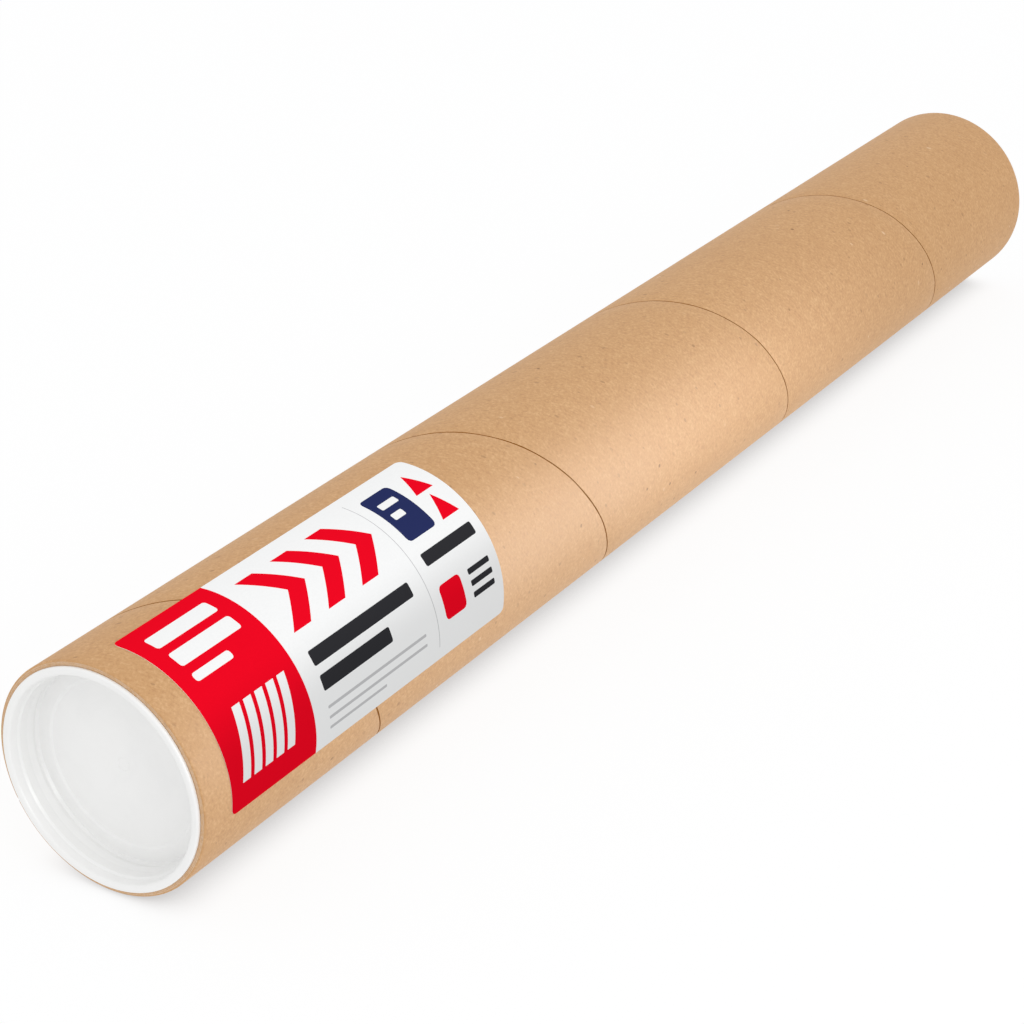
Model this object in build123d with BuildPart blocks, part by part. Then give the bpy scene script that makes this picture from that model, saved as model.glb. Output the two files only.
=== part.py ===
from build123d import *
import math
import os

# A spirally wound cardboard mailing tube, closed by a plastic plug at each end,
# with a paper label wrapped round it near the front end.
# Millimetres. The tube stands on its rear plug: +Z runs along the axis to the front plug,
# the label faces -Y, and the origin is at the middle of the rear plug's lip.

# The wound tube
bore_diameter = 76.2
wall_thickness = 4.064
tube_length = 660.4
end_edge_chamfer = 0.5

# The butt joint of the outer ply, a right-handed helix round the tube
seam_lead = 155.0
seam_width = 0.55
seam_depth = 0.3
seam_angle_at_rear = 342.4

# The flange of a plug, which seats on the tube's end and carries the lip
flange_thickness = 1.5
flange_inset = 1.9
flange_edge_chamfer = 1.1
lip_chamfer = 0.9

# The cup of a plug, which goes into the bore
plug_clearance = 0.1
cup_depth = 10.7
cup_wall = 1.75
mouth_flare = 1.1
lower_wall_height = 4.7
lower_wall_taper = 0.6
floor_thickness = 1.6
floor_edge_chamfer = 1.2

# The sunk panel in the cup's floor, with the mark of the moulding gate at its middle
panel_margin = 5.25
panel_step = 0.6
panel_slope = 0.5
gate_diameter = 4.8
gate_depth = 0.2

# The bead round the middle of the cup that grips the bore
grip_bead_width = 2.4
grip_bead_height = 0.35

# The label, a sheet stuck on the tube with a film of glue
label_length = 160.5
label_height = 76.3
label_thickness = 0.12
glue_thickness = 0.05
label_from_front = 13.5
label_corner = 2.5
label_facing = -90.0

# Sizes that follow from the ones above
bore_radius = bore_diameter / 2
tube_radius = bore_radius + wall_thickness
rear_end = flange_thickness
front_end = rear_end + tube_length
seam_start = rear_end - seam_lead * seam_angle_at_rear / 360
seam_turns = math.ceil((front_end - seam_start) / seam_lead)
flange_radius = tube_radius - flange_inset
bead_radius = bore_radius - plug_clearance
skirt_radius = bead_radius - grip_bead_height
cup_radius = bead_radius - cup_wall
mouth_radius = cup_radius + mouth_flare
floor_radius = cup_radius - lower_wall_taper
panel_rim_radius = floor_radius - panel_margin
panel_radius = panel_rim_radius - panel_slope
panel_depth = cup_depth + panel_step
skirt_depth = cup_depth + floor_thickness
label_radius = tube_radius + glue_thickness
label_arc = math.degrees(label_height / label_radius)
label_start = label_facing - label_arc / 2
label_middle = front_end - label_from_front - label_length / 2


def plug_section(plane):
    """Half of a plug's section: x is the distance from the axis, y the height outside the tube's end."""
    gate_radius = gate_diameter / 2
    mouth_corner = (mouth_radius, flange_thickness)
    flange_corner = (flange_radius, flange_thickness)
    skirt_corner = (skirt_radius, -skirt_depth)
    bead_middle = -skirt_depth / 2
    with BuildSketch(plane) as section:
        with BuildLine():
            # The cup's inside, from the gate mark out to the mouth
            Polyline(
                (0, -panel_depth - gate_depth),
                (gate_radius, -panel_depth - gate_depth),
                (gate_radius, -panel_depth),
                (panel_radius, -panel_depth),
                (panel_rim_radius, -cup_depth),
                (floor_radius, -cup_depth),
                (cup_radius, lower_wall_height - cup_depth),
                mouth_corner,
            )
            # The flange
            Polyline(mouth_corner, flange_corner, (flange_radius, 0), (skirt_radius, 0))
            # The skirt with its bead, then the underside back to the axis
            Polyline(
                (skirt_radius, 0),
                (skirt_radius, bead_middle + grip_bead_width / 2),
                (bead_radius, bead_middle),
                (skirt_radius, bead_middle - grip_bead_width / 2),
                skirt_corner,
                (0, -skirt_depth),
                (0, -panel_depth - gate_depth),
            )
        make_face()
        chamfer(section.vertices().sort_by_distance(mouth_corner)[0], lip_chamfer)
        chamfer(section.vertices().sort_by_distance(flange_corner)[0], flange_edge_chamfer)
        chamfer(section.vertices().sort_by_distance(skirt_corner)[0], floor_edge_chamfer)
    return section.sketch


# The tube, with the seam cut into its outer face turn by turn, from end to end
with BuildPart() as tube:
    with BuildSketch(Plane.XY.offset(rear_end)):
        Circle(tube_radius)
        Circle(bore_radius, mode=Mode.SUBTRACT)
    extrude(amount=tube_length)
    end_edges = tube.edges().filter_by(GeomType.CIRCLE).filter_by(lambda edge: edge.radius > bore_radius)
    chamfer(end_edges, end_edge_chamfer)
    for turn in range(seam_turns):
        with BuildLine() as seam:
            Helix(seam_lead, seam_lead, tube_radius, center=(0, 0, seam_start + turn * seam_lead))
        with BuildSketch(Plane(origin=seam.line @ 0, x_dir=(1, 0, 0), z_dir=seam.line % 0)):
            with BuildLine():
                Polyline((-seam_depth, 0), (seam_depth, seam_width), (seam_depth, -seam_width), close=True)
            make_face()
        sweep(path=seam.line, is_frenet=True, mode=Mode.SUBTRACT)
tube.part.label = "tube"

# The front plug, its section standing on the tube's front end
front_section = plug_section(Plane(origin=(0, 0, front_end), x_dir=(1, 0, 0), z_dir=(0, -1, 0)))
with BuildPart() as front_cap:
    revolve(front_section, axis=Axis.Z)
front_cap.part.label = "front_cap"

# The rear plug, the same section turned over on the tube's rear end
rear_section = plug_section(Plane(origin=(0, 0, rear_end), x_dir=(1, 0, 0), z_dir=(0, 1, 0)))
with BuildPart() as rear_cap:
    revolve(rear_section, axis=Axis.Z)
rear_cap.part.label = "rear_cap"

# The label, a sector of a thin shell with rounded corners
label_x = (math.cos(math.radians(label_start)), math.sin(math.radians(label_start)), 0)
label_normal = (label_x[1], -label_x[0], 0)
with BuildPart() as label:
    with BuildSketch(Plane(origin=(0, 0, label_middle), x_dir=label_x, z_dir=label_normal)):
        with Locations((label_radius, 0)):
            Rectangle(label_thickness, label_length, align=(Align.MIN, Align.CENTER))
    revolve(axis=Axis.Z, revolution_arc=label_arc)
    fillet(label.edges().group_by(SortBy.LENGTH)[0], label_corner)
label.part.label = "label"

os.makedirs("parts", exist_ok=True)
export_step(tube.part, "parts/tube.step")
export_step(front_cap.part, "parts/front_cap.step")
export_step(rear_cap.part, "parts/rear_cap.step")
export_step(label.part, "parts/label.step")
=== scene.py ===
"""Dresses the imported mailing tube: a wound board tube, a printed paper label and two moulded end plugs."""

import math

import bmesh
import bpy
from bpy.props import FloatProperty, FloatVectorProperty, IntProperty, PointerProperty
from mathutils import Euler, Matrix, Vector, noise
from mathutils.geometry import delaunay_2d_cdt


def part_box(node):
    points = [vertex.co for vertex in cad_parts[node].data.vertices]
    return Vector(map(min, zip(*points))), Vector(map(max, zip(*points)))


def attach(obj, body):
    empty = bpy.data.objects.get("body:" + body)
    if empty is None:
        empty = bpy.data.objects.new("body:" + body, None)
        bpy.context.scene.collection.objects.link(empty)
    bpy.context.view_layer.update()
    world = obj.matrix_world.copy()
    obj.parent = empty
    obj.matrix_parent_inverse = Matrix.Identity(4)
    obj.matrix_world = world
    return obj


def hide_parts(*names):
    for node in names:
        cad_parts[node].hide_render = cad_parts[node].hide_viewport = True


bl_info = {
    "name": "Mailing Tube",
    "version": (1, 0, 0),
    "blender": (4, 5, 0),
    "location": "3D View > Sidebar > Mailing Tube",
    "description": "Builds a wound board mailing tube with its label and end plugs",
    "category": "Object",
}

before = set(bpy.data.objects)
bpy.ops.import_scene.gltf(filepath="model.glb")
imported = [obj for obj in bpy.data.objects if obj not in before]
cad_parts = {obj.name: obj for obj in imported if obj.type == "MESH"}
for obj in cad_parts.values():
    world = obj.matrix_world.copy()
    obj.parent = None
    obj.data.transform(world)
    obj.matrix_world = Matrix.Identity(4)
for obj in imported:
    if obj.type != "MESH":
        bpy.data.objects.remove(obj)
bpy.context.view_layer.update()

MM = 0.001
# Points closer than this are one point
WELD = 0.0001 * MM


def axis_distances(node):
    """Least and greatest distance of a solid from the tube's axis."""
    distances = [math.hypot(v.co.x, v.co.y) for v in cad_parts[node].data.vertices]
    return min(distances), max(distances)


def axis_angles(node):
    """Least and greatest angle of a solid about the tube's axis, in degrees."""
    angles = [math.degrees(math.atan2(v.co.y, v.co.x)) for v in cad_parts[node].data.vertices]
    return min(angles), max(angles)


bore_radius, tube_radius = axis_distances("tube")
rear_end, front_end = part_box("tube")[0].z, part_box("tube")[1].z
flange_radius = axis_distances("front_cap")[1]
flange_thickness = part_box("front_cap")[1].z - front_end
label_radius = axis_distances("label")[1]
label_low_edge, label_high_edge = axis_angles("label")
label_rear_edge, label_front_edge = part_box("label")[0].z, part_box("label")[1].z


# Settings


def length(name, description, default):
    return FloatProperty(name=name, description=description, default=default, unit="LENGTH", precision=5)


def angle(name, description, degrees):
    return FloatProperty(name=name, description=description, default=math.radians(degrees), subtype="ANGLE")


def share(name, description, default):
    return FloatProperty(name=name, description=description, default=default, min=0, max=1, subtype="FACTOR")


def brightness(name, description, default):
    return FloatProperty(name=name, description=description, default=default, min=0)


def colour(name, description, default):
    return FloatVectorProperty(
        name=name, description=description, default=default, size=3, subtype="COLOR", min=0, max=1
    )


class TubeSettings(bpy.types.PropertyGroup):
    """The wound board tube"""

    radius: length("Radius", "Outside of the wound board", tube_radius)
    bore: length("Bore radius", "Inside of the wound board", bore_radius)
    rear: length("Rear end", "Height of the rear cut end", rear_end)
    front: length("Front end", "Height of the front cut end", front_end)
    edge_round: length("Edge rounding", "Softening of the cut outer edge", 0.5 * MM)
    seam_lead: length("Seam lead", "Length of tube for one turn of the outer ply", 155 * MM)
    seam_turn: angle("Seam turn", "Where the outer ply's joint meets the rear end", 342.4)
    seam_gap: length("Seam gap", "Width of the open joint at the front end", 0.85 * MM)
    seam_closing: share("Seam closing", "Share of the joint's width that is gone at the rear end", 0.42)
    seam_depth: length("Seam depth", "Depth of the open joint, one ply", 0.3 * MM)
    liner_turn: angle("Liner turn", "Where the liner's joint meets the rear end", 120)
    liner_inset: length("Liner inset", "How far inside the cut ends the liner stops", 0.5 * MM)
    ply_count: IntProperty(name="Plies", description="Plies that show on the cut ends", default=9, min=2)
    kraft: colour("Kraft", "Brown of the outer ply", (0.57, 0.314, 0.131))
    kraft_pale: colour("Pale kraft", "Palest fibres of the outer ply", (0.65, 0.388, 0.186))
    kraft_dark: colour("Dark kraft", "Darkest fibres of the outer ply", (0.49, 0.253, 0.099))
    speck: colour("Specks", "Bark specks in the paper", (0.17, 0.062, 0.008))
    fleck: colour("Flecks", "Bleached flecks in the paper", (0.86, 0.68, 0.47))
    glue: colour("Joint", "Glued board at the bottom of the open joint", (0.30, 0.12, 0.02))
    cut_board: colour("Cut board", "Cut ends of the plies", (0.72, 0.52, 0.36))
    cut_line: colour("Glue lines", "Glue between the plies on the cut ends", (0.40, 0.25, 0.14))
    liner: colour("Liner", "Innermost ply", (0.50, 0.30, 0.155))


class LabelSettings(bpy.types.PropertyGroup):
    """The printed label"""

    radius: length("Radius", "Outer face of the label", label_radius)
    upper: angle("Upper edge", "Angle of the upper edge", label_high_edge)
    lower: angle("Lower edge", "Angle of the lower edge", label_low_edge)
    front: length("Front edge", "Height of the front edge", label_front_edge)
    rear: length("Rear edge", "Height of the rear edge", label_rear_edge)
    corner: length("Corner", "Rounding of the label's corners", 2.5 * MM)
    band: length("Band", "Width of the red band at the front edge", 45.2 * MM)
    paper: colour("Paper", "Coated white paper", (0.90, 0.905, 0.905))
    red: colour("Red", "Red of the band and the large marks", (0.83, 0.003, 0.016))
    charcoal: colour("Charcoal", "Dark bars", (0.030, 0.030, 0.034))
    grey: colour("Grey", "Fine rules", (0.55, 0.55, 0.56))
    navy: colour("Navy", "Blue block", (0.022, 0.030, 0.110))


class PlugSettings(bpy.types.PropertyGroup):
    """The moulded end plugs"""

    flange_radius: length("Flange radius", "Outside of the flange", flange_radius)
    flange_thickness: length("Flange thickness", "Height of the lip above the tube's end", flange_thickness)
    mouth_radius: length("Mouth radius", "Inner edge of the lip", 37.35 * MM)
    knee_radius: length("Knee radius", "Inside of the cup where its wall bends", 36.25 * MM)
    knee_depth: length("Knee depth", "Depth of the bend below the tube's end", 6 * MM)
    floor_radius: length("Floor radius", "Foot of the cup's wall", 35.65 * MM)
    floor_depth: length("Floor depth", "Depth of the cup's floor", 10.7 * MM)
    panel_radius: length("Panel radius", "Sunk panel in the floor", 29.9 * MM)
    panel_step: length("Panel step", "Depth of the sunk panel", 0.6 * MM)
    gate_radius: length("Gate radius", "Mark of the moulding gate at the panel's middle", 2.1 * MM)
    gate_depth: length("Gate depth", "Depth of the gate mark", 0.2 * MM)
    skirt_radius: length("Skirt radius", "Outside of the cup", 37.65 * MM)
    skirt_depth: length("Skirt depth", "Depth of the cup's underside", 12.3 * MM)
    bead_radius: length("Bead radius", "Crown of the grip bead", 38 * MM)
    bead_width: length("Bead width", "Width of the grip bead", 2.4 * MM)
    seat_gap: length("Seat gap", "Gap between the flange and the tube's end", 0.03 * MM)
    plastic: colour("Plastic", "White moulded plastic", (0.88, 0.88, 0.872))
    plastic_shade: colour("Shaded plastic", "Plastic where it runs thin or has dust", (0.83, 0.83, 0.825))


class StageSettings(bpy.types.PropertyGroup):
    """Floor, light and camera"""

    up_turn: angle("Up", "Direction about the axis that points up from the floor the tube lies on", -42.5)
    shadow: colour("Shadow", "Floor under the tube", (0.36, 0.365, 0.38))
    shadow_reach: length("Shadow reach", "How far from the tube the floor darkens", 15 * MM)
    lit_share: share("Lit share", "Share of the floor that the lamps light", 0.1)
    sky: brightness("Sky", "Strength of the even light from all sides", 0.95)
    key: brightness("Key", "Power of the soft key lamp", 2.2)
    gloss: brightness("Gloss", "Power of the lamp that shows in the gloss of the board", 1.9)
    glint: brightness("Glint", "Power of the lamp that shows in the gloss of the plugs", 3.0)
    lens: FloatProperty(
        name="Lens", description="Focal length on a 36 mm sensor", default=91.78, subtype="DISTANCE_CAMERA"
    )
    camera_place: FloatVectorProperty(
        name="Camera place",
        description="Where the camera stands",
        default=(0.0, -0.6616, 1.19226),
        subtype="TRANSLATION",
    )
    camera_turn: FloatVectorProperty(
        name="Camera turn",
        description="How the camera is turned",
        default=(math.radians(-26.381), math.radians(32.108), math.radians(-132.5)),
        subtype="EULER",
    )


# Nodes shared by the materials


def add(tree, kind, values=None, **settings):
    """Adds a node, sets its properties and the plain values of its inputs."""
    made = tree.nodes.new(kind)
    for name, value in settings.items():
        setattr(made, name, value)
    for name, value in (values or {}).items():
        made.inputs[name].default_value = value
    return made


def opaque(rgb):
    return (*rgb, 1.0)


def start_group(name, inputs, outputs):
    """Makes an empty shader node group with its sockets."""
    tree = bpy.data.node_groups.new(name, "ShaderNodeTree")
    for socket, kind, default in inputs:
        made = tree.interface.new_socket(name=socket, in_out="INPUT", socket_type=kind)
        if default is not None:
            made.default_value = default
    for socket in outputs:
        tree.interface.new_socket(name=socket, in_out="OUTPUT", socket_type="NodeSocketFloat")
    return tree, tree.nodes.new("NodeGroupInput"), tree.nodes.new("NodeGroupOutput")


def math_node(tree, operation, first, second, clamp=False):
    """A Math node on two sockets or numbers."""
    made = add(tree, "ShaderNodeMath", operation=operation, use_clamp=clamp)
    for i, value in enumerate((first, second)):
        if isinstance(value, bpy.types.NodeSocket):
            tree.links.new(value, made.inputs[i])
        else:
            made.inputs[i].default_value = value
    return made.outputs[0]


def times(tree, first, second):
    return math_node(tree, "MULTIPLY", first, second)


def times_plus(tree, value, factor, start):
    """A value times a factor, on top of a start."""
    made = math_node(tree, "MULTIPLY_ADD", value, factor)
    made.node.inputs[2].default_value = start
    return made


def weighted_sum(tree, *layers):
    """Adds up values, each times its weight."""
    total = None
    for value, weight in layers:
        part = times(tree, value, weight)
        total = part if total is None else math_node(tree, "ADD", total, part)
    return total


def spread(tree, value, low, high, to_low=0.0, to_high=1.0):
    """Maps the range low to high onto another range, smoothly."""
    made = add(
        tree,
        "ShaderNodeMapRange",
        {"From Min": low, "From Max": high, "To Min": to_low, "To Max": to_high},
        interpolation_type="SMOOTHSTEP",
    )
    tree.links.new(value, made.inputs["Value"])
    return made.outputs["Result"]


def scaled(tree, vector, factors):
    """Stretches texture coordinates."""
    made = add(tree, "ShaderNodeVectorMath", operation="MULTIPLY")
    tree.links.new(vector, made.inputs[0])
    made.inputs[1].default_value = factors
    return made.outputs["Vector"]


def noise_of(tree, vector, scale, detail, roughness, distortion=0.0):
    made = add(
        tree,
        "ShaderNodeTexNoise",
        {"Scale": scale, "Detail": detail, "Roughness": roughness, "Distortion": distortion},
    )
    tree.links.new(vector, made.inputs["Vector"])
    return made.outputs[0]


def spots_of(tree, vector, scale, size, chance, seed):
    """Scattered spots of uneven size and strength, in some of the cells of a Voronoi texture."""
    moved = add(tree, "ShaderNodeVectorMath", operation="ADD")
    tree.links.new(vector, moved.inputs[0])
    moved.inputs[1].default_value = (seed, seed * 0.37, 0.0)
    cells = add(tree, "ShaderNodeTexVoronoi", {"Scale": scale, "Randomness": 1.0}, voronoi_dimensions="2D")
    tree.links.new(moved.outputs["Vector"], cells.inputs["Vector"])
    parts = add(tree, "ShaderNodeSeparateColor")
    tree.links.new(cells.outputs["Color"], parts.inputs["Color"])
    chosen = math_node(tree, "LESS_THAN", parts.outputs["Red"], chance)
    darkness = times(tree, chosen, spread(tree, parts.outputs["Blue"], 0.0, 1.0, 0.3, 1.0))
    reach = spread(tree, parts.outputs["Green"], 0.0, 1.0, size * 0.5, size)
    way_out = math_node(tree, "DIVIDE", cells.outputs["Distance"], reach)
    inside = math_node(tree, "SUBTRACT", 1.0, way_out, clamp=True)
    return times(tree, spread(tree, inside, 0.0, 0.5), darkness)


def fibre_group():
    """Paper fibres: a mottled tone, bark specks, bleached flecks and the height of the fibres."""
    tree, given, result = start_group(
        "Paper Fibres",
        [
            ("Vector", "NodeSocketVector", None),
            ("Coarseness", "NodeSocketFloat", 1.0),
            ("Specks", "NodeSocketFloat", 1.0),
        ],
        ["Tone", "Dark Specks", "Pale Flecks", "Height"],
    )
    sized = add(tree, "ShaderNodeVectorMath", operation="SCALE")
    tree.links.new(given.outputs["Vector"], sized.inputs[0])
    tree.links.new(given.outputs["Coarseness"], sized.inputs["Scale"])
    place = sized.outputs["Vector"]
    along, across = scaled(tree, place, (240, 1500, 1)), scaled(tree, place, (1300, 420, 1))
    grain = noise_of(tree, place, scale=760, detail=3, roughness=0.65)
    cloud = noise_of(tree, place, scale=230, detail=3, roughness=0.6, distortion=0.4)
    streak = noise_of(tree, along, scale=1, detail=3, roughness=0.6, distortion=0.9)
    cross = noise_of(tree, across, scale=1, detail=2, roughness=0.6, distortion=1.4)
    tone = weighted_sum(tree, (grain, 0.5), (cloud, 0.2), (streak, 0.18), (cross, 0.13))
    short, long = scaled(tree, place, (0.6, 1, 1)), scaled(tree, place, (0.5, 1, 1))
    large = spots_of(tree, place, scale=62, size=0.06, chance=0.1, seed=0.31)
    small = spots_of(tree, short, scale=190, size=0.16, chance=0.22, seed=0.73)
    pale = spots_of(tree, long, scale=110, size=0.09, chance=0.06, seed=1.9)
    specks = math_node(tree, "MAXIMUM", large, times(tree, small, 0.5))
    for name, value in (
        ("Tone", spread(tree, tone, 0.34, 0.66)),
        ("Dark Specks", times(tree, specks, given.outputs["Specks"])),
        ("Pale Flecks", times(tree, pale, given.outputs["Specks"])),
        ("Height", weighted_sum(tree, (streak, 0.6), (grain, 0.4))),
    ):
        tree.links.new(value, result.inputs[name])
    return tree


def handling_group():
    """Faint marks of handling: broad smudges and a few short rubs."""
    tree, given, result = start_group(
        "Handling Marks", [("Vector", "NodeSocketVector", None)], ["Smudge", "Rub"]
    )
    place = given.outputs["Vector"]
    broad = noise_of(tree, place, scale=24, detail=4, roughness=0.6, distortion=0.5)
    fine = noise_of(tree, scaled(tree, place, (900, 900, 60)), scale=1, detail=3, roughness=0.55)
    rub = times(tree, spread(tree, fine, 0.6, 0.8), spread(tree, broad, 0.5, 0.7))
    tree.links.new(spread(tree, broad, 0.42, 0.72), result.inputs["Smudge"])
    tree.links.new(rub, result.inputs["Rub"])
    return tree


def place_group(tree, name, maker, vector, **values):
    """Places a shared group, which is made the first time it is asked for."""
    made = add(tree, "ShaderNodeGroup", node_tree=bpy.data.node_groups.get(name) or maker())
    tree.links.new(vector, made.inputs["Vector"])
    for socket, value in values.items():
        made.inputs[socket.title()].default_value = value
    return made.outputs


def place_fibres(tree, vector, coarseness, specks):
    return place_group(tree, "Paper Fibres", fibre_group, vector, coarseness=coarseness, specks=specks)


def place_marks(tree, vector):
    return place_group(tree, "Handling Marks", handling_group, vector)


def blend_colour(tree, factor, first, second):
    """Mixes two colours, each a plain value or a socket."""
    made = add(tree, "ShaderNodeMix", data_type="RGBA")
    tree.links.new(factor, made.inputs[0])
    for i, value in ((6, first), (7, second)):
        if isinstance(value, bpy.types.NodeSocket):
            tree.links.new(value, made.inputs[i])
        else:
            made.inputs[i].default_value = opaque(value)
    return made.outputs[2]


def overlay(tree, under, mask, paint, cover):
    """Lays a colour over another where a mask is, with a share of cover."""
    return blend_colour(tree, times(tree, mask, cover), under, paint)


def start_material(name, specular):
    """A new material with a Principled BSDF."""
    material = bpy.data.materials.new(name)
    material.use_nodes = True
    tree = material.node_tree
    tree.nodes.clear()
    surface = add(tree, "ShaderNodeBsdfPrincipled", {"Specular IOR Level": specular})
    output = tree.nodes.new("ShaderNodeOutputMaterial")
    tree.links.new(surface.outputs["BSDF"], output.inputs["Surface"])
    return material, tree, surface.inputs


def body_place(tree):
    """Texture coordinates fixed to the body."""
    return add(tree, "ShaderNodeTexCoord").outputs["Object"]


def sheet_place(tree, uv_map):
    """Texture coordinates on the flat sheet, before it is wound or stuck down."""
    return add(tree, "ShaderNodeUVMap", uv_map=uv_map).outputs["UV"]


def raise_height(tree, surface, height, strength, distance):
    bump = add(tree, "ShaderNodeBump", {"Strength": strength, "Distance": distance})
    tree.links.new(height, bump.inputs["Height"])
    tree.links.new(bump.outputs["Normal"], surface["Normal"])


# Materials


def board_material(name, plain, pale, dark, settings, coarseness, specks, rough):
    """Kraft paper on the winding's own coordinates: along the ply and across it."""
    material, tree, surface = start_material(name, specular=0.5)
    fibres = place_fibres(tree, sheet_place(tree, "winding"), coarseness, specks)
    marks = place_marks(tree, body_place(tree))
    lighter = blend_colour(tree, spread(tree, fibres["Tone"], 0.5, 1.0), plain, pale)
    toned = blend_colour(tree, spread(tree, fibres["Tone"], 0.5, 0.0), lighter, dark)
    smudged = overlay(tree, toned, marks["Smudge"], dark, cover=0.16)
    flecked = overlay(tree, smudged, fibres["Pale Flecks"], settings.fleck, cover=0.45)
    specked = overlay(tree, flecked, fibres["Dark Specks"], settings.speck, cover=0.75)
    tree.links.new(specked, surface["Base Color"])
    matt = times_plus(tree, fibres["Tone"], factor=0.10, start=rough)
    rubbed = math_node(tree, "SUBTRACT", matt, times(tree, marks["Rub"], 0.06))
    tree.links.new(rubbed, surface["Roughness"])
    raise_height(tree, surface, fibres["Height"], strength=0.35, distance=0.12 * MM)
    return material


def cut_end_material(settings):
    """The cut ends of the plies: rings of board with glue lines between them."""
    material, tree, surface = start_material("Cut board", specular=0.3)
    body = body_place(tree)
    fibres = place_fibres(tree, body, coarseness=1.2, specks=0.6)
    parts = add(tree, "ShaderNodeSeparateXYZ")
    tree.links.new(body, parts.inputs["Vector"])
    flat = add(tree, "ShaderNodeCombineXYZ")
    for axis in "XY":
        tree.links.new(parts.outputs[axis], flat.inputs[axis])
    distance = add(tree, "ShaderNodeVectorMath", operation="LENGTH")
    tree.links.new(flat.outputs["Vector"], distance.inputs[0])
    pitch = (settings.radius - settings.bore) / settings.ply_count
    wander = times(tree, noise_of(tree, body, scale=90, detail=2, roughness=0.5), 0.25 * MM)
    depth = math_node(tree, "SUBTRACT", distance.outputs["Value"], settings.bore)
    depth = math_node(tree, "ADD", depth, wander)
    ply = math_node(tree, "FRACT", math_node(tree, "DIVIDE", depth, pitch), 0.0)
    off_middle = math_node(tree, "ABSOLUTE", math_node(tree, "SUBTRACT", ply, 0.5), 0.0)
    toned = blend_colour(tree, fibres["Tone"], settings.kraft_pale, settings.cut_board)
    lined = overlay(tree, toned, spread(tree, off_middle, 0.34, 0.48), settings.cut_line, cover=0.7)
    specked = overlay(tree, lined, fibres["Dark Specks"], settings.speck, cover=0.6)
    tree.links.new(specked, surface["Base Color"])
    tree.links.new(spread(tree, fibres["Tone"], 0.0, 1.0, 0.75, 0.95), surface["Roughness"])
    raise_height(tree, surface, fibres["Height"], strength=0.6, distance=0.3 * MM)
    return material


def joint_material(settings):
    """The bottom of the open joint: the ply below, brown with glue."""
    material, tree, surface = start_material("Open joint", specular=0.06)
    body = body_place(tree)
    fibres = place_fibres(tree, body, coarseness=0.8, specks=0.5)
    patchy = spread(tree, noise_of(tree, body, scale=130, detail=3, roughness=0.6), 0.45, 0.75)
    bare = times(tree, patchy, times(tree, fibres["Tone"], 0.6))
    tree.links.new(blend_colour(tree, bare, settings.glue, settings.kraft_dark), surface["Base Color"])
    tree.links.new(spread(tree, fibres["Tone"], 0.0, 1.0, 0.6, 0.85), surface["Roughness"])
    return material


def print_material(name, ink, settings, rough):
    """Ink or bare coated paper, with painted shade that greys it a little towards the label's lower edge."""
    material, tree, surface = start_material(name, specular=0.0)
    sheet = sheet_place(tree, "sheet")
    fibres = place_fibres(tree, sheet, coarseness=1.6, specks=0.0)
    marks = place_marks(tree, body_place(tree))
    parts = add(tree, "ShaderNodeSeparateXYZ")
    tree.links.new(sheet, parts.inputs["Vector"])
    height = settings.radius * (settings.upper - settings.lower)
    # Painted shade: ink and paper are darkened towards the lower edge, as if less light fell there
    down = spread(tree, parts.outputs["Y"], height * 0.44, height * 0.78)
    painted_shade_ink, mottled = (tuple(c * factor for c in ink) for factor in (0.74, 0.965))
    toned = blend_colour(tree, fibres["Tone"], ink, mottled)
    tree.links.new(blend_colour(tree, down, toned, painted_shade_ink), surface["Base Color"])
    smudged = times_plus(tree, marks["Smudge"], factor=0.08, start=rough)
    tree.links.new(smudged, surface["Roughness"])
    raise_height(tree, surface, fibres["Height"], strength=0.12, distance=0.04 * MM)
    return material


def plastic_material(settings):
    """Moulded white plastic: a fine satin skin with faint flow marks round the gate."""
    material, tree, surface = start_material("Moulded plastic", specular=0.45)
    body = body_place(tree)
    marks = place_marks(tree, body)
    flow = noise_of(tree, scaled(tree, body, (70, 70, 25)), scale=1, detail=4, roughness=0.6, distortion=0.8)
    skin = noise_of(tree, body, scale=2200, detail=3, roughness=0.6)
    tone = weighted_sum(tree, (spread(tree, flow, 0.4, 0.75), 0.35), (marks["Smudge"], 0.3))
    tree.links.new(blend_colour(tree, tone, settings.plastic, settings.plastic_shade), surface["Base Color"])
    satin = times_plus(tree, skin, factor=0.10, start=0.27)
    rubbed = math_node(tree, "ADD", satin, times(tree, marks["Rub"], 0.1))
    tree.links.new(rubbed, surface["Roughness"])
    height = weighted_sum(tree, (skin, 0.25), (flow, 1.0))
    raise_height(tree, surface, height, strength=0.1, distance=0.12 * MM)
    return material


# Meshes


def on_axis(radius, turn, height):
    return Vector((radius * math.cos(turn), radius * math.sin(turn), height))


def finish_piece(bm, name, materials, body, node, sharp):
    """Turns the mesh into a piece that rides on a body and stands for a solid.

    Edges that bend by more than sharp, an angle in degrees, stay sharp.
    """
    mesh = bpy.data.meshes.new(name)
    bm.to_mesh(mesh)
    bm.free()
    for material in materials:
        mesh.materials.append(material)
    mesh.shade_smooth()
    mesh.set_sharp_from_angle(angle=math.radians(sharp))
    piece = bpy.data.objects.new(name, mesh)
    bpy.context.scene.collection.objects.link(piece)
    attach(piece, body)
    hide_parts(node)
    return piece


# The tube's materials, in the order of its slots
OUTER_PLY, OPEN_JOINT, CUT_END, LINER = range(4)


def cut_across(bm, height, out, clear=False):
    """Cuts the mesh square to the axis, and takes off what lies outside the cut if clear is set."""
    whole = bm.verts[:] + bm.edges[:] + bm.faces[:]
    bmesh.ops.bisect_plane(bm, geom=whole, plane_co=(0, 0, height), plane_no=(0, 0, out), clear_outer=clear)


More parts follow.
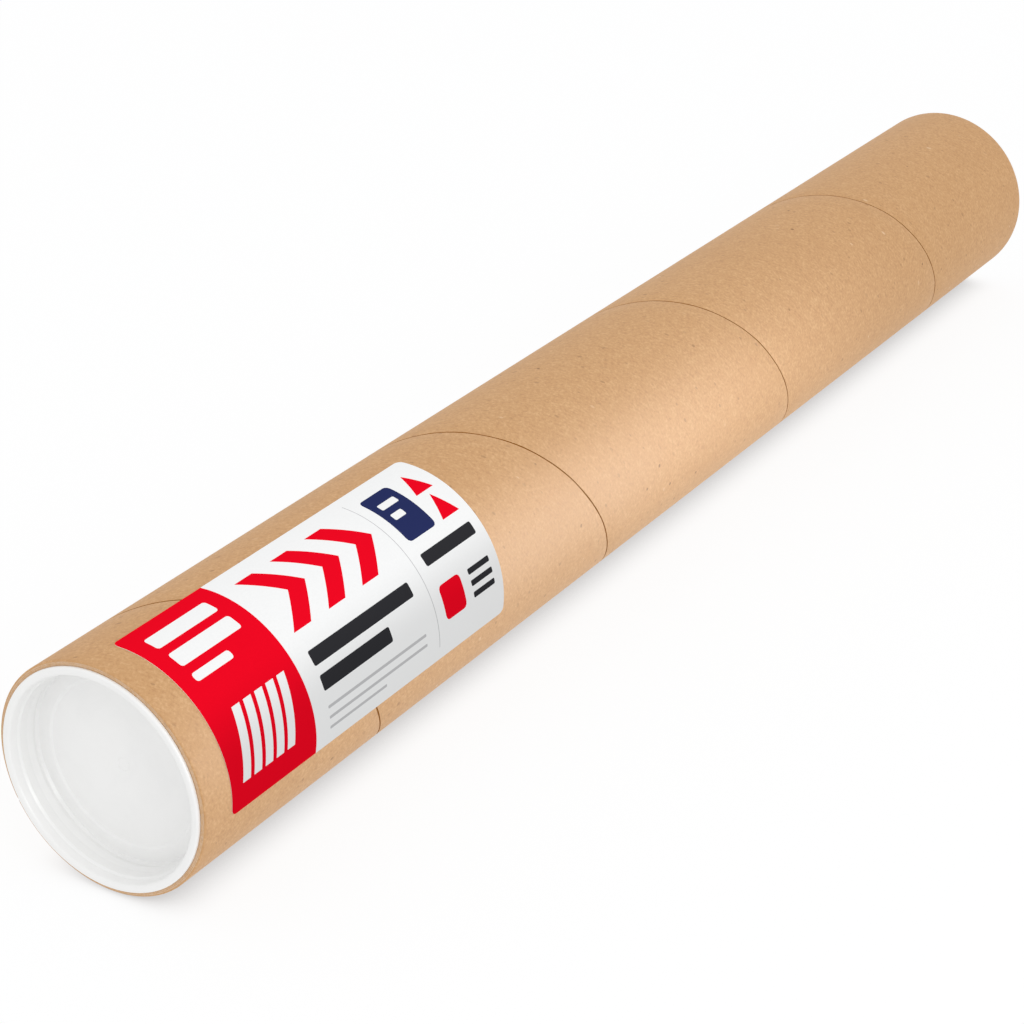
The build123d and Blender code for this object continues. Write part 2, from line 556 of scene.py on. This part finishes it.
def wind_ply(settings, radius, seam_turn, depth, low, high, material):
    """One ply laid on a cylinder as a helical strip, its edges apart by an open joint of uneven width.

    A positive depth sinks the joint towards the axis. The strip runs past both ends and is cut square there.
    """
    lead, gap = settings.seam_lead, settings.seam_gap
    # How far the joint strays and its width varies, as shares of the gap, and how fast round the tube
    wander, wander_pace = 0.3, 3
    unevenness, uneven_pace = 0.15, 9
    # The radius picks a place in the noise, so that each ply strays in its own way
    wander_place, uneven_place = radius * 500, radius * 300
    step = math.radians(2)
    # One column to spare at each end, because the joint strays
    first_turn = seam_turn - math.tau - step
    columns = math.ceil(((high - low) / lead + 1) * math.tau / step) + 2
    middle_rows = 12
    # The strip's edge, out of the joint and up to the ply: shares of half the gap and of the depth
    edge_sinks = ((0.0, 1.0), (0.62, 1.0), (1.0, 0.16), (1.7, 0.0))
    least_joint_sink = 0.1
    slope = math.atan(lead / (math.tau * radius))

    def helix_height(turn):
        return low + lead * (turn - seam_turn) / math.tau

    def seam_height(turn):
        stray = noise.noise(Vector((turn * wander_pace, 0, wander_place)))
        return helix_height(turn) + wander * gap * stray

    def half_gap(turn):
        from_front = (high - seam_height(turn)) / (high - low)
        width = gap * (1 - settings.seam_closing * from_front)
        return width * (0.5 + unevenness * noise.noise(Vector((turn * uneven_pace, uneven_place, 0))))

    bm = bmesh.new()
    uv = bm.loops.layers.uv.new("winding")
    rows = []
    for i in range(columns):
        turn = first_turn + i * step
        near, far = seam_height(turn), seam_height(turn + math.tau)
        near_gap, far_gap = half_gap(turn), half_gap(turn + math.tau)
        places = [(near + near_gap * out, sink) for out, sink in edge_sinks]
        start, end = places[-1][0], far - far_gap * edge_sinks[-1][0]
        places += [(start + (end - start) * k / middle_rows, 0.0) for k in range(1, middle_rows)]
        places += [(far - far_gap * out, sink) for out, sink in reversed(edge_sinks)]
        row = []
        for height, sink in places:
            vertex = bm.verts.new(on_axis(radius - depth * sink, turn, height))
            across = height - helix_height(turn)
            along = turn * radius / math.cos(slope) + across * math.sin(slope)
            row.append((vertex, (along, across * math.cos(slope)), sink))
        rows.append(row)
    for left, right in zip(rows, rows[1:]):
        for k in range(len(left) - 1):
            corners = (left[k], right[k], right[k + 1], left[k + 1])
            face = bm.faces.new([c[0] for c in corners])
            sunk = min(c[2] for c in corners) > least_joint_sink
            face.material_index = OPEN_JOINT if sunk else material
            for loop, corner in zip(face.loops, corners):
                loop[uv].uv = corner[1]
    bmesh.ops.remove_doubles(bm, verts=bm.verts, dist=WELD)
    cut_across(bm, high, 1, clear=True)
    cut_across(bm, low, -1, clear=True)
    if depth < 0:
        bmesh.ops.reverse_faces(bm, faces=bm.faces)
    return bm


def round_end(bm, end, out, size, steps=4):
    """Softens the outer edge of a cut end: out is 1 for the front end and -1 for the rear one."""
    for k in range(steps):
        cut_across(bm, end - out * size * (1 - math.sin(k / steps * math.pi / 2)), out)
    for vertex in bm.verts:
        over = (vertex.co.z - end) * out + size
        if over > 0:
            radius = math.hypot(vertex.co.x, vertex.co.y)
            shrink = 1 - (size - math.sqrt(max(size * size - over * over, 0.0))) / radius
            vertex.co.x *= shrink
            vertex.co.y *= shrink


def close_end(bm, end, out, bore, ply_count):
    """Fills a cut end from its outer edge to the bore, with a shallow ridge for each ply."""
    at_end = 10 * WELD
    border = [v for v in bm.verts if v.is_boundary and abs(v.co.z - end) < at_end]
    border.sort(key=lambda v: math.atan2(v.co.y, v.co.x))
    turns = [math.atan2(v.co.y, v.co.x) for v in border]
    outer = min(math.hypot(v.co.x, v.co.y) for v in border)
    pitch = (outer - bore) / ply_count
    crown_half, valley = pitch * 0.22, pitch * 0.45
    crown_sunk, valley_sunk = 0.06 * MM, 0.12 * MM
    fray_size, fray_round, fray_across = 0.04 * MM, 40, 3000
    # Each ring is a distance from the axis and how far it lies inside the end
    rings = [(outer - 0.08 * MM, 0.05 * MM)]
    for ply in range(ply_count):
        crown = outer - pitch * (ply + 0.5)
        rings += [(crown + crown_half, crown_sunk), (crown - crown_half, crown_sunk)]
        rings.append((crown - valley, valley_sunk))
    rings += [(bore + 0.2 * MM, 0.1 * MM), (bore, 0.3 * MM)]
    for radius, sunk in rings:
        ring = []
        for turn in turns:
            fray = fray_size * noise.noise(Vector((turn * fray_round, radius * fray_across, end)))
            ring.append(bm.verts.new(on_axis(radius, turn, end - out * (sunk + fray))))
        for k in range(len(ring)):
            face = bm.faces.new((border[k - 1], border[k], ring[k], ring[k - 1]))
            face.material_index = CUT_END
        border = ring


def build_tube(s):
    """The outer ply with its cut ends, joined to the liner at both mouths."""
    bm = wind_ply(s, s.radius, s.seam_turn, s.seam_depth, s.rear, s.front, OUTER_PLY)
    for end, out in ((s.front, 1), (s.rear, -1)):
        round_end(bm, end, out, s.edge_round)
        close_end(bm, end, out, s.bore, s.ply_count)
    inset = s.liner_inset
    liner = wind_ply(s, s.bore, s.liner_turn, -s.seam_depth, s.rear + inset, s.front - inset, LINER)
    liner_mesh = bpy.data.meshes.new("liner")
    liner.to_mesh(liner_mesh)
    liner.free()
    bm.from_mesh(liner_mesh)
    bpy.data.meshes.remove(liner_mesh)
    for end in (s.front, s.rear):
        open_edges = [e for e in bm.edges if e.is_boundary]
        mouth = [e for e in open_edges if all(abs(v.co.z - end) < 2 * inset for v in e.verts)]
        for face in bmesh.ops.bridge_loops(bm, edges=mouth)["faces"]:
            face.material_index = CUT_END
    bmesh.ops.recalc_face_normals(bm, faces=bm.faces)
    outer_paper, liner_paper = (s.kraft, s.kraft_pale, s.kraft_dark), (s.liner, s.kraft, s.cut_board)
    materials = [
        board_material("Kraft board", *outer_paper, s, coarseness=1.0, specks=1.0, rough=0.6),
        joint_material(s),
        cut_end_material(s),
        board_material("Liner board", *liner_paper, s, coarseness=0.8, specks=1.3, rough=0.7),
    ]
    return finish_piece(bm, "wound_tube", materials, "tube", "tube", sharp=35)


def rounded_line(corners, steps=6):
    """A profile through corners, each given as distance, height and rounding radius."""
    most_of_side = 0.49
    points = []
    for i, (x, y, radius) in enumerate(corners):
        here = Vector((x, y))
        if radius == 0 or i in (0, len(corners) - 1):
            points.append(here)
            continue
        before, after = (Vector(corners[k][:2]) - here for k in (i - 1, i + 1))
        half = before.angle(after) / 2
        reach = min(radius / math.tan(half), before.length * most_of_side, after.length * most_of_side)
        start, end = here + before.normalized() * reach, here + after.normalized() * reach
        for k in range(steps + 1):
            t = k / steps
            points.append(start.lerp(here, t).lerp(here.lerp(end, t), t))
    return points


def plug_profile(s):
    """Half of a plug's section, from the gate mark round the lip to the middle of the underside.

    A corner is a place, given by its distance from the axis and its height over the tube's end, then how far
    it is shifted from that place and its rounding radius, in millimetres.
    """
    panel, floor, knee = -s.floor_depth - s.panel_step, -s.floor_depth, -s.knee_depth
    gate, underside, lip = panel - s.gate_depth, -s.skirt_depth, s.flange_thickness
    bead, bead_half = underside / 2, s.bead_width / 2
    corners = (
        # The floor: gate mark, sunk panel and its step
        (0, gate, 0, 0, 0),
        (s.gate_radius, gate, 0, 0, 0.2),
        (s.gate_radius, panel, 0.4, 0, 0.3),
        (s.panel_radius, panel, -0.2, 0, 0.9),
        (s.panel_radius, floor, 0.7, 0, 0.9),
        # The wall: foot, bend and ridge
        (s.floor_radius, floor, -0.35, 0, 0.3),
        (s.floor_radius, floor, 0.2, 1.3, 0.6),
        (s.floor_radius, floor, 0.05, 2.5, 0.3),
        (s.knee_radius, knee, 0, 0, 1),
        (s.knee_radius, knee, 0.05, 3.25, 0.4),
        (s.knee_radius, knee, 0.65, 4.1, 0.5),
        # The lip and the flange
        (s.mouth_radius, lip, 0, 0, 2.1),
        (s.flange_radius, lip, -0.45, 0, 0.9),
        (s.flange_radius, lip, 0, -0.65, 0.6),
        (s.flange_radius, s.seat_gap, 0, 0, 0.2),
        # The skirt with its bead, and the underside
        (s.skirt_radius, s.seat_gap, 0, 0, 0.2),
        (s.skirt_radius, bead + bead_half, 0, 0, 0.6),
        (s.bead_radius, bead, 0, 0, 0.8),
        (s.skirt_radius, bead - bead_half, 0, 0, 0.6),
        (s.skirt_radius, underside, 0, 0, 1.3),
        (0, underside, 0, 0, 0),
    )
    return rounded_line([(x + across * MM, y + up * MM, radius * MM) for x, y, across, up, radius in corners])


def build_plug(settings, name, node, end, out, material):
    """A plug seated on one end of the tube: out is 1 at the front end and -1 at the rear one."""
    bm = bmesh.new()
    segments = 192
    turns = [math.tau * k / segments for k in range(segments)]
    rings = []
    for point in plug_profile(settings):
        height = end + out * point.y
        if point.x < WELD:
            rings.append([bm.verts.new((0, 0, height))] * segments)
        else:
            rings.append([bm.verts.new(on_axis(point.x, turn, height)) for turn in turns])
    for inner, outer in zip(rings, rings[1:]):
        for k in range(segments):
            ahead = (k + 1) % segments
            corners = list(dict.fromkeys((inner[k], outer[k], outer[ahead], inner[ahead])))
            bm.faces.new(corners if out > 0 else corners[::-1])
    bmesh.ops.recalc_face_normals(bm, faces=bm.faces)
    return finish_piece(bm, name, [material], node, node, sharp=50)


# The label's print: generic bars, stripes and chevrons. Places on the sheet run along the tube from the front
# edge and down the sheet from the upper one.


def corner_arcs(left, top, width, height, corner, parts):
    """The rounded corners of a rectangle: upper front, upper rear, lower rear and lower front."""
    arcs = []
    for x, y, start in (
        (left + corner, top + corner, 180),
        (left + width - corner, top + corner, 270),
        (left + width - corner, top + height - corner, 0),
        (left + corner, top + height - corner, 90),
    ):
        turns = [math.radians(start + k * 90 / parts) for k in range(parts + 1)]
        arcs.append([(x + corner * math.cos(t), y + corner * math.sin(t)) for t in turns])
    return arcs


def bar(left, top, width, height, corner=0.8):
    return sum(corner_arcs(left, top, width, height, corner, parts=3), [])


def stripe(left, top, width, height, lean):
    right, bottom = left + width, top + height
    return [(left + lean, top), (right + lean, top), (right, bottom), (left, bottom)]


def chevron(left, top, width, height, thickness):
    right, middle, bottom = left + width, top + height / 2, top + height
    return [
        (left, top),
        (left + thickness, top),
        (right, middle),
        (left + thickness, bottom),
        (left, bottom),
        (right - thickness, middle),
    ]


def triangle(left, top, width, height):
    return [(left, top + height), (left + width / 2, top), (left + width, top + height)]


def label_print():
    """What is printed on the sheet and its red band, lowest first, as inks and outlines in millimetres."""
    fields = []
    # On the red band
    for top, width, height in ((7, 31, 6.4), (17, 31, 6.4), (27, 19, 3.4)):
        fields.append(("paper", bar(7, top, width, height, corner=1.2)))
    for k in range(5):
        fields.append(("paper", stripe(6 + 5.9 * k, 43, 4, 24, lean=6)))
    # In the middle of the sheet
    for k in range(3):
        fields.append(("red", chevron(53 + 19.5 * k, 8, 21.5, 27, thickness=9.5)))
    for top, width in ((42.5, 58), (51.5, 40)):
        fields.append(("charcoal", bar(53, top, width, 5.6)))
    for top, width in ((62.4, 58), (66.2, 58), (70, 33)):
        fields.append(("grey", bar(53, top, width, 1.1, corner=0.4)))
    # The fine rule across the sheet, and what lies behind it
    fields.append(("grey", bar(118.4, 5, 0.35, 66.3, corner=0.1)))
    fields.append(("navy", bar(124, 8, 17, 24, corner=2)))
    for top, width in ((13.5, 10), (19.5, 6.5)):
        fields.append(("paper", bar(127.5, top, width, 3, corner=0.6)))
    for k in range(2):
        fields.append(("red", triangle(145, 8 + 13 * k, 10.4, 11)))
    fields.append(("charcoal", bar(124, 37.5, 31.5, 5)))
    fields.append(("red", bar(124, 50.5, 13, 13, corner=2)))
    for top in (51.5, 55.9, 60.3):
        fields.append(("charcoal", bar(142, top, 13.5, 2.2, corner=0.5)))
    return fields


def sheet_outline(width, height, corner, rows):
    """The label's outline, with a point on the front and rear sides at every row."""
    arcs = corner_arcs(0, 0, width, height, corner, parts=6)
    rear_side, front_side = [(width, row) for row in rows], [(0, row) for row in reversed(rows)]
    return arcs[0] + arcs[1] + rear_side + arcs[2] + arcs[3] + front_side


def band_outline(outline, band, height):
    """The label's outline as far as the band's rear edge, closed along that edge."""
    points = [p for p in outline if p[0] < band] + [(band, height), (band, 0)]
    return sorted(points, key=lambda p: math.atan2(p[1] - height / 2, p[0] - band / 2))


def build_label(settings, tube):
    """One sheet cut into its printed fields, laid on the tube, with its back and its rim."""
    width, corner = settings.front - settings.rear, settings.corner
    height = settings.radius * (settings.upper - settings.lower)
    row_count = 48
    rows = [height * k / row_count for k in range(1, row_count)]
    rows = [row for row in rows if corner < row < height - corner]
    outline = sheet_outline(width, height, corner, rows)
    fields = [("paper", outline), ("red", band_outline(outline, settings.band, height))]
    fields += [(ink, [(x * MM, y * MM) for x, y in points]) for ink, points in label_print()]
    places, outlines = [], []
    for ink, points in fields:
        outlines.append(list(range(len(places), len(places) + len(points))))
        places += [Vector(p) for p in points]
    bends = [(outline.index((0, row)), outline.index((width, row))) for row in rows]
    points, _, triangles, _, _, owners = delaunay_2d_cdt(places, bends, outlines, 1, WELD)

    bm = bmesh.new()
    uv = bm.loops.layers.uv.new("sheet")

    def lay(radius):
        turns = [settings.upper - p.y / settings.radius for p in points]
        return [bm.verts.new(on_axis(radius, t, settings.front - p.x)) for t, p in zip(turns, points)]

    back_clearance = 0.01 * MM
    face_points, back_points = lay(settings.radius), lay(tube.radius + back_clearance)
    roughness = {"paper": 0.56, "red": 0.50, "charcoal": 0.52, "grey": 0.54, "navy": 0.52}
    inks = list(roughness)

    def add_face(verts, corners, ink):
        face = bm.faces.new(verts)
        face.material_index = inks.index(ink)
        for loop, corner in zip(face.loops, corners):
            loop[uv].uv = points[corner]

    for corners, owner in zip(triangles, owners):
        if owner:
            add_face([face_points[c] for c in corners], corners, fields[max(owner)][0])
            add_face([back_points[c] for c in corners[::-1]], corners[::-1], "paper")
    bm.verts.index_update()
    for edge in [e for e in bm.edges if e.is_boundary and e.verts[0].index < len(points)]:
        a, b = (v.index for v in edge.verts)
        add_face([face_points[a], face_points[b], back_points[b], back_points[a]], (a, b, b, a), "paper")
    bmesh.ops.recalc_face_normals(bm, faces=bm.faces)
    bmesh.ops.delete(bm, geom=[v for v in bm.verts if not v.link_faces], context="VERTS")
    materials = [
        print_material(f"Label {ink}", getattr(settings, ink), settings, roughness[ink]) for ink in inks
    ]
    return finish_piece(bm, "paper_label", materials, "tube", "label", sharp=45)


# Stage

# Each lamp's place, what it points at and its width. A point is a height over the axis, a distance to the
# label's side and a place along the tube.
LAMPS = {
    "key": ((0.7, 1.0, 0.95), (0, 0, 0.42), 0.7),
    "gloss": ((0.03, 0.27, 0.3), (0.01, 0.04, 0.55), 0.36),
    "glint": ((0.25, 0.87, 0.99), (0, 0, 0.66), 0.5),
}


def floor_material(settings):
    """A white sweep that takes soft shadows and can't be seen from behind."""
    material = bpy.data.materials.new("White sweep")
    material.use_nodes = True
    tree = material.node_tree
    tree.nodes.clear()
    side = tree.nodes.new("ShaderNodeNewGeometry")
    near = add(tree, "ShaderNodeAmbientOcclusion", {"Distance": settings.shadow_reach}, samples=16)
    white = tree.nodes.new("ShaderNodeEmission")
    falloff = 3.0
    covered = math_node(tree, "POWER", math_node(tree, "SUBTRACT", 1.0, near.outputs["AO"]), falloff)
    tree.links.new(blend_colour(tree, covered, (1, 1, 1), settings.shadow), white.inputs["Color"])
    lit = add(tree, "ShaderNodeBsdfDiffuse", {"Color": opaque((0.98, 0.985, 1.0))})
    clear = tree.nodes.new("ShaderNodeBsdfTransparent")
    seen = add(tree, "ShaderNodeMixShader", {"Fac": settings.lit_share})
    face = tree.nodes.new("ShaderNodeMixShader")
    output = tree.nodes.new("ShaderNodeOutputMaterial")
    tree.links.new(white.outputs["Emission"], seen.inputs[1])
    tree.links.new(lit.outputs["BSDF"], seen.inputs[2])
    tree.links.new(side.outputs["Backfacing"], face.inputs["Fac"])
    tree.links.new(seen.outputs["Shader"], face.inputs[1])
    tree.links.new(clear.outputs["BSDF"], face.inputs[2])
    tree.links.new(face.outputs["Shader"], output.inputs["Surface"])
    return material


def set_world(settings):
    """Even white light from all sides, and plain white where the camera or a reflection sees it."""
    world = bpy.data.worlds.new("White studio")
    bpy.context.scene.world = world
    world.use_nodes = True
    tree = world.node_tree
    tree.nodes.clear()
    path = tree.nodes.new("ShaderNodeLightPath")
    light = add(tree, "ShaderNodeBackground", {"Color": opaque((1, 1, 1)), "Strength": settings.sky})
    backdrop = add(tree, "ShaderNodeBackground", {"Color": opaque((1, 1, 1)), "Strength": 1.0})
    shown = math_node(tree, "MAXIMUM", path.outputs["Is Camera Ray"], path.outputs["Is Glossy Ray"])
    shown = math_node(tree, "MAXIMUM", shown, path.outputs["Is Transmission Ray"])
    mix = tree.nodes.new("ShaderNodeMixShader")
    output = tree.nodes.new("ShaderNodeOutputWorld")
    tree.links.new(shown, mix.inputs["Fac"])
    tree.links.new(light.outputs["Background"], mix.inputs[1])
    tree.links.new(backdrop.outputs["Background"], mix.inputs[2])
    tree.links.new(mix.outputs["Shader"], output.inputs["Surface"])


def place_object(name, data, matrix):
    made = bpy.data.objects.new(name, data)
    bpy.context.scene.collection.objects.link(made)
    made.matrix_world = matrix
    return made


def lay_floor(settings, place, turn):
    """A wide plane through a place, turned so that it faces up."""
    half_width = 6
    bm = bmesh.new()
    bmesh.ops.create_grid(bm, x_segments=1, y_segments=1, size=half_width)
    mesh = bpy.data.meshes.new("floor")
    bm.to_mesh(mesh)
    bm.free()
    mesh.materials.append(floor_material(settings))
    floor = place_object("floor", mesh, Matrix.Translation(place) @ turn.to_4x4())
    floor.visible_diffuse = floor.visible_glossy = floor.visible_shadow = False


def add_lamp(name, place, aim, width, power):
    """A round area lamp. Only the key lamp lights the surfaces, the others show in their gloss."""
    lamp = bpy.data.lights.new(name, "AREA")
    lamp.shape = "DISK"
    lamp.size = width
    lamp.energy = power
    turn = (aim - place).to_track_quat("-Z", "Y").to_matrix().to_4x4()
    holder = place_object(name, lamp, Matrix.Translation(place) @ turn)
    holder.visible_diffuse = name == "key"


def set_camera(settings):
    data = bpy.data.cameras.new("camera")
    data.lens = settings.lens
    data.sensor_width = 36
    data.clip_start, data.clip_end = 0.01, 50
    turn = Euler(settings.camera_turn).to_matrix().to_4x4()
    bpy.context.scene.camera = place_object("camera", data, Matrix.Translation(settings.camera_place) @ turn)


# Operators


class MAILTUBE_OT_wind_tube(bpy.types.Operator):
    """Winds the board tube with its open joint and cut ends"""

    bl_idname = "mailtube.wind_tube"
    bl_label = "Wind Tube"

    def execute(self, context):
        build_tube(context.scene.tube_settings)
        return {"FINISHED"}


class MAILTUBE_OT_print_label(bpy.types.Operator):
    """Prints the label and lays it on the tube"""

    bl_idname = "mailtube.print_label"
    bl_label = "Print Label"

    def execute(self, context):
        build_label(context.scene.label_settings, context.scene.tube_settings)
        return {"FINISHED"}


class MAILTUBE_OT_mould_plugs(bpy.types.Operator):
    """Moulds both end plugs and seats them"""

    bl_idname = "mailtube.mould_plugs"
    bl_label = "Mould Plugs"

    def execute(self, context):
        settings, tube = context.scene.plug_settings, context.scene.tube_settings
        material = plastic_material(settings)
        build_plug(settings, "front_plug", "front_cap", tube.front, 1, material)
        build_plug(settings, "rear_plug", "rear_cap", tube.rear, -1, material)
        return {"FINISHED"}


class MAILTUBE_OT_set_stage(bpy.types.Operator):
    """Lays the white floor against the tube's side and sets the light and the camera"""

    bl_idname = "mailtube.set_stage"
    bl_label = "Set Stage"

    def execute(self, context):
        scene, settings = context.scene, context.scene.stage_settings
        up, along = on_axis(1, settings.up_turn, 0), Vector((0, 0, 1))
        across = along.cross(up)
        floor_gap = 0.2 * MM
        below = -up * (scene.tube_settings.radius + floor_gap)
        lay_floor(settings, below, Matrix((across, along, up)).transposed())
        set_world(settings)

        def point(height, to_label, along_tube):
            return up * height - across * to_label + along * along_tube

        for name, (place, aim, width) in LAMPS.items():
            add_lamp(name, point(*place), point(*aim), width, getattr(settings, name))
        set_camera(settings)
        scene.view_settings.view_transform = "Standard"
        return {"FINISHED"}


class MAILTUBE_PT_sidebar(bpy.types.Panel):
    """Lists the steps that build the tube, with their settings"""

    bl_idname = "MAILTUBE_PT_sidebar"
    bl_label = "Mailing Tube"
    bl_space_type = "VIEW_3D"
    bl_region_type = "UI"
    bl_category = "Mailing Tube"

    def draw(self, context):
        for settings, operator in STEPS:
            group = getattr(context.scene, settings)
            box = self.layout.box()
            box.operator(operator)
            for name in group.__annotations__:
                box.prop(group, name)


STEPS = (
    ("tube_settings", "mailtube.wind_tube"),
    ("label_settings", "mailtube.print_label"),
    ("plug_settings", "mailtube.mould_plugs"),
    ("stage_settings", "mailtube.set_stage"),
)
GROUPS = {
    "tube_settings": TubeSettings,
    "label_settings": LabelSettings,
    "plug_settings": PlugSettings,
    "stage_settings": StageSettings,
}
CLASSES = (
    *GROUPS.values(),
    MAILTUBE_OT_wind_tube,
    MAILTUBE_OT_print_label,
    MAILTUBE_OT_mould_plugs,
    MAILTUBE_OT_set_stage,
    MAILTUBE_PT_sidebar,
)


def register():
    for cls in CLASSES:
        bpy.utils.register_class(cls)
    for name, group in GROUPS.items():
        setattr(bpy.types.Scene, name, PointerProperty(type=group))


def unregister():
    for name in GROUPS:
        delattr(bpy.types.Scene, name)
    for cls in reversed(CLASSES):
        bpy.utils.unregister_class(cls)


def main():
    register()
    bpy.ops.mailtube.wind_tube()
    bpy.ops.mailtube.print_label()
    bpy.ops.mailtube.mould_plugs()
    bpy.ops.mailtube.set_stage()


if __name__ == "__main__":
    main()
